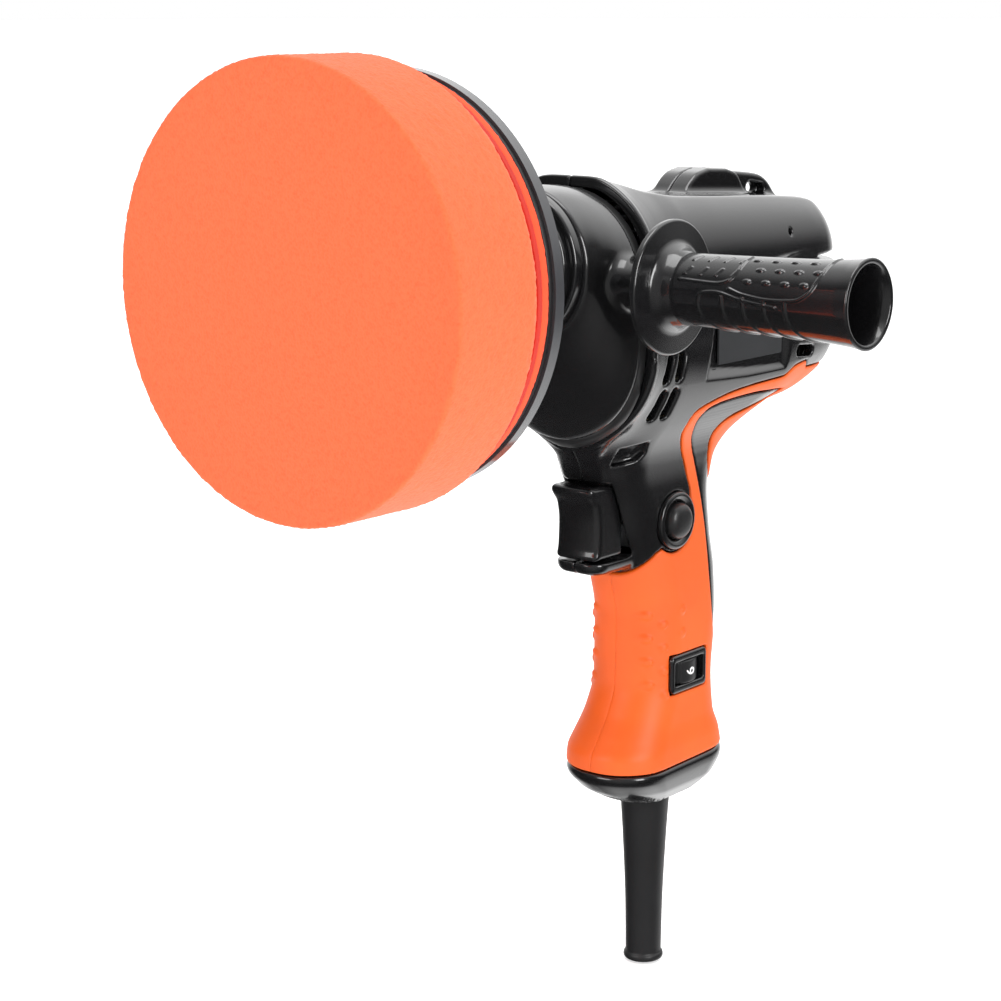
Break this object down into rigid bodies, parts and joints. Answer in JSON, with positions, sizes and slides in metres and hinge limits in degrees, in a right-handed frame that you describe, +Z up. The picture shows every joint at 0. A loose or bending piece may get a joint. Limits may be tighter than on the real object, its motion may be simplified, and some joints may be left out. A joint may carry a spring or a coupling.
{
  "type": "rotary polisher",
  "caption": "Corded rotary polisher with a pistol grip, trigger, lock-on button, speed dial and side handle, driving a large round foam pad through a one-stage gearbox.",
  "frame": {"origin": "centre of the foam pad's flat working face, on the spindle axis", "axes": "-Y out of the pad's working face, +Y back along the spindle, +X along the side handle, +Z up"},
  "size_m": [0.22, 0.316, 0.385],
  "materials": {
    "foam": "open-cell polishing foam, coral orange, flat face with a fine grain",
    "loop": "bright red-orange loop pile",
    "hook": "black hook pile",
    "soft_rubber": "matt black soft rubber",
    "plate_plastic": "dark grey gloss moulded plastic",
    "black_gloss": "gloss black moulded plastic",
    "black_satin": "satin black moulded plastic",
    "orange_skin": "orange soft-touch moulding, satin",
    "cast_black": "gloss black painted casting",
    "steel": "turned steel",
    "bright_steel": "ground bearing steel",
    "brass": "machined brass",
    "copper": "enamelled copper wire, varnished",
    "laminations": "stacked steel laminations",
    "carbon": "dull black carbon",
    "grey_plastic": "grey moulded plastic",
    "board_green": "green circuit board",
    "cream": "cream moulded case",
    "felt": "grey felt",
    "blank_label": "plain dark grey label panel, nothing printed"
  },
  "bodies": {
    "housing": {"gear_cover": "cast_black", "nose_collar": "black_satin", "seal_ring": "felt", "nose_bearing": "bright_steel", "gear_case": "black_satin", "cover_screws": "steel", "spindle_bush": "bright_steel", "front_motor_bearing": "bright_steel", "rear_motor_bearing": "bright_steel", "bearing_sleeve": "soft_rubber", "stator_core": "laminations", "field_coils": "copper", "air_baffle": "grey_plastic", "carbon_brushes": "carbon", "brush_holders": "brass", "brush_springs": "bright_steel", "spine_inlay": "black_gloss", "grip_skin_left": "orange_skin", "grip_skin_right": "orange_skin", "housing_left": "black_gloss", "housing_right": "black_gloss", "housing_screws": "steel", "label_plate": "blank_label", "bottom_cap": "black_gloss", "cord_guard": "soft_rubber", "power_cord": "soft_rubber", "cord_clamp": "grey_plastic", "clamp_screws": "steel", "trigger_spring": "bright_steel", "switch_body": "grey_plastic", "lock_ring": "black_gloss", "dial_bezel": "black_satin", "control_board": "board_green", "capacitor": "cream", "handle_sockets": "brass", "handle_stud": "steel", "side_handle": "black_gloss"},
    "spindle_group": {"spindle": "steel", "gear_key": "steel", "output_gear": "steel", "gear_circlip": "bright_steel", "backing_plate": "plate_plastic", "plate_insert": "brass", "soft_face": "soft_rubber", "hook_face": "hook", "loop_disc": "loop", "foam_pad": "foam"},
    "armature": {"motor_shaft": "steel", "armature_core": "laminations", "armature_windings": "copper", "commutator": "copper", "cooling_fan": "grey_plastic"},
    "trigger_body": {"trigger": "black_gloss"},
    "lock_button_body": {"lock_button": "black_gloss"},
    "speed_dial_body": {"speed_dial": "black_satin"}
  },
  "joints": [
    {"name": "spindle_spin", "type": "hinge", "parent": "housing", "child": "spindle_group", "pos_m": [0, 0.1, 0], "axis": [0, 1, 0], "continuous": true},
    {"name": "armature_spin", "type": "hinge", "parent": "housing", "child": "armature", "pos_m": [0, 0.2, -0.024], "axis": [0, 1, 0], "continuous": true},
    {"name": "trigger_slide", "type": "slide", "parent": "housing", "child": "trigger_body", "axis": [0, 1, 0], "range_m": [0, 0.0065], "stiffness_N_per_m": 900, "springref_m": -0.001, "deforming": ["trigger_spring"]},
    {"name": "lock_button_slide", "type": "slide", "parent": "housing", "child": "lock_button_body", "axis": [-1, 0, 0], "range_m": [0, 0.003], "stiffness_N_per_m": 600, "springref_m": -0.001},
    {"name": "speed_dial_turn", "type": "hinge", "parent": "housing", "child": "speed_dial_body", "pos_m": [0.008, 0.2145, -0.1745], "axis": [0, 0, 1], "range_deg": [-270, 0]}
  ],
  "couplings": [
    {"joint": "armature_spin", "follows": "spindle_spin", "ratio": -7.5}
  ]
}
